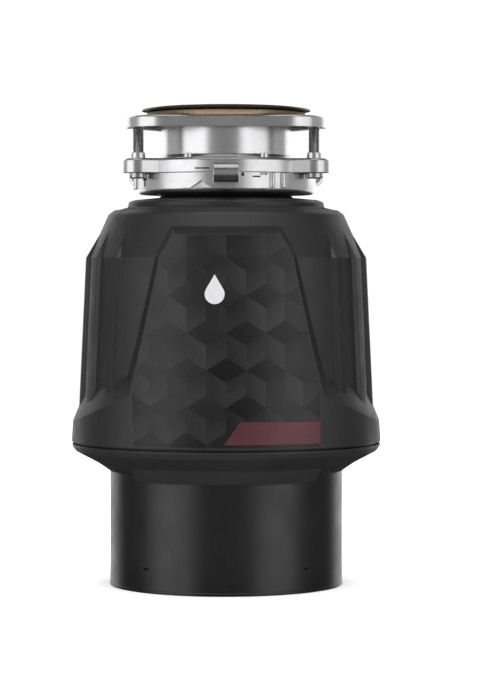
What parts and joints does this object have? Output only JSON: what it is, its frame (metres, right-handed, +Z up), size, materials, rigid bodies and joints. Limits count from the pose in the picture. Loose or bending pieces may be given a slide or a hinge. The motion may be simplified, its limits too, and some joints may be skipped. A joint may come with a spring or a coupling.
{
  "type": "kitchen garbage disposal",
  "caption": "Under-sink food waste disposer with a quick-turn metal sink mount, a two-part black sound cover with raised panels and side ribs, a grinding turntable and a motor.",
  "frame": {"origin": "centre of the foot rim's plane, on the motor's axis", "axes": "+Z up along the motor's axis towards the sink, -Y towards the front label, +Y towards the drain outlet, +X to the right seen from the front"},
  "size_m": [0.2086, 0.2643, 0.321],
  "materials": {
    "cover_plastic": "matte moulded black with a fine texture",
    "shell_plastic": "satin black",
    "label_film": "satin printed film",
    "badge_foil": "satin maroon",
    "polished_steel": "polished",
    "pressed_metal": "satin",
    "screw_steel": "zinc plated",
    "rubber": "matte",
    "fibre": "waxed brown fibre",
    "chamber_plastic": "moulded grey",
    "elbow_plastic": "satin black",
    "insulation_foam": "open-cell foam",
    "stainless": "stainless, brushed",
    "cast_aluminium": "as cast",
    "electrical_steel": "laminated",
    "shaft_steel": "ground",
    "bearing_bronze": "sintered bronze",
    "copper_wire": "enamelled copper",
    "plate_steel": "satin black",
    "electrical_plastic": "moulded",
    "button_plastic": "red"
  },
  "bodies": {
    "disposer": {"motor_shell": "shell_plastic", "lower_cover": "cover_plastic", "upper_cover": "cover_plastic", "front_label": "label_film", "badge": "badge_foil", "base_plate": "plate_steel", "base_screws": "screw_steel", "overload_protector": "electrical_plastic", "terminal_block": "electrical_plastic", "ground_screw": "screw_steel", "lower_end_bell": "cast_aluminium", "upper_end_bell": "cast_aluminium", "through_bolts": "screw_steel", "stator_core": "electrical_steel", "lower_windings": "copper_wire", "upper_windings": "copper_wire", "lower_bearing": "bearing_bronze", "upper_bearing": "bearing_bronze", "thrust_washer": "bearing_bronze", "shaft_seal": "rubber", "start_switch": "electrical_plastic", "drain_chamber": "chamber_plastic", "drain_outlet": "chamber_plastic", "discharge_gasket": "rubber", "discharge_elbow": "elbow_plastic", "discharge_flange": "pressed_metal", "discharge_screws": "screw_steel", "grind_ring": "stainless", "grind_housing": "chamber_plastic", "hopper": "chamber_plastic", "hopper_neck": "chamber_plastic", "inlet_knockout": "chamber_plastic", "flange_screws": "screw_steel", "sound_insulation": "insulation_foam", "sink_flange": "polished_steel", "upper_mounting_ring": "pressed_metal", "snap_ring": "screw_steel", "cushion_mount": "rubber", "sink_baffle": "rubber"},
    "rotor": {"shaft": "shaft_steel", "rotor_core": "electrical_steel", "rotor_end_rings": "cast_aluminium", "slinger": "rubber", "turntable": "stainless", "turntable_nut": "screw_steel", "impeller_rivets": "stainless", "governor_spring": "shaft_steel"},
    "governor": {"governor_sleeve": "electrical_plastic"},
    "impeller_right": {"impeller_right": "stainless"},
    "impeller_left": {"impeller_left": "stainless"},
    "lock_ring": {"lower_mounting_ring": "pressed_metal"},
    "clamp": {"backup_flange": "pressed_metal", "fibre_gasket": "fibre", "mounting_screws": "screw_steel"},
    "reset_button": {"reset_button": "button_plastic"}
  },
  "joints": [
    {"name": "rotor_spin", "type": "hinge", "parent": "disposer", "child": "rotor", "pos_m": [0, 0, 0.06], "axis": [0, 0, 1], "continuous": true},
    {"name": "governor_slide", "type": "slide", "parent": "rotor", "child": "governor", "axis": [0, 0, 1], "range_m": [-0.0012, 0], "stiffness_N_per_m": 800, "springref_m": 0.0015, "deforming": ["governor_spring"]},
    {"name": "impeller_right_swivel", "type": "hinge", "parent": "rotor", "child": "impeller_right", "pos_m": [0.046, 0, 0.155], "axis": [0, 0, 1], "continuous": true},
    {"name": "impeller_left_swivel", "type": "hinge", "parent": "rotor", "child": "impeller_left", "pos_m": [-0.046, 0, 0.155], "axis": [0, 0, 1], "continuous": true},
    {"name": "lock_ring_turn", "type": "hinge", "parent": "disposer", "child": "lock_ring", "pos_m": [0, 0, 0.27], "axis": [0, 0, 1], "range_deg": [-30, 0]},
    {"name": "clamp_slide", "type": "slide", "parent": "disposer", "child": "clamp", "axis": [0, 0, -1], "range_m": [0, 0.008]},
    {"name": "reset_button_press", "type": "slide", "parent": "disposer", "child": "reset_button", "axis": [0, 0, 1], "range_m": [0, 0.003], "stiffness_N_per_m": 400, "springref_m": -0.001}
  ]
}
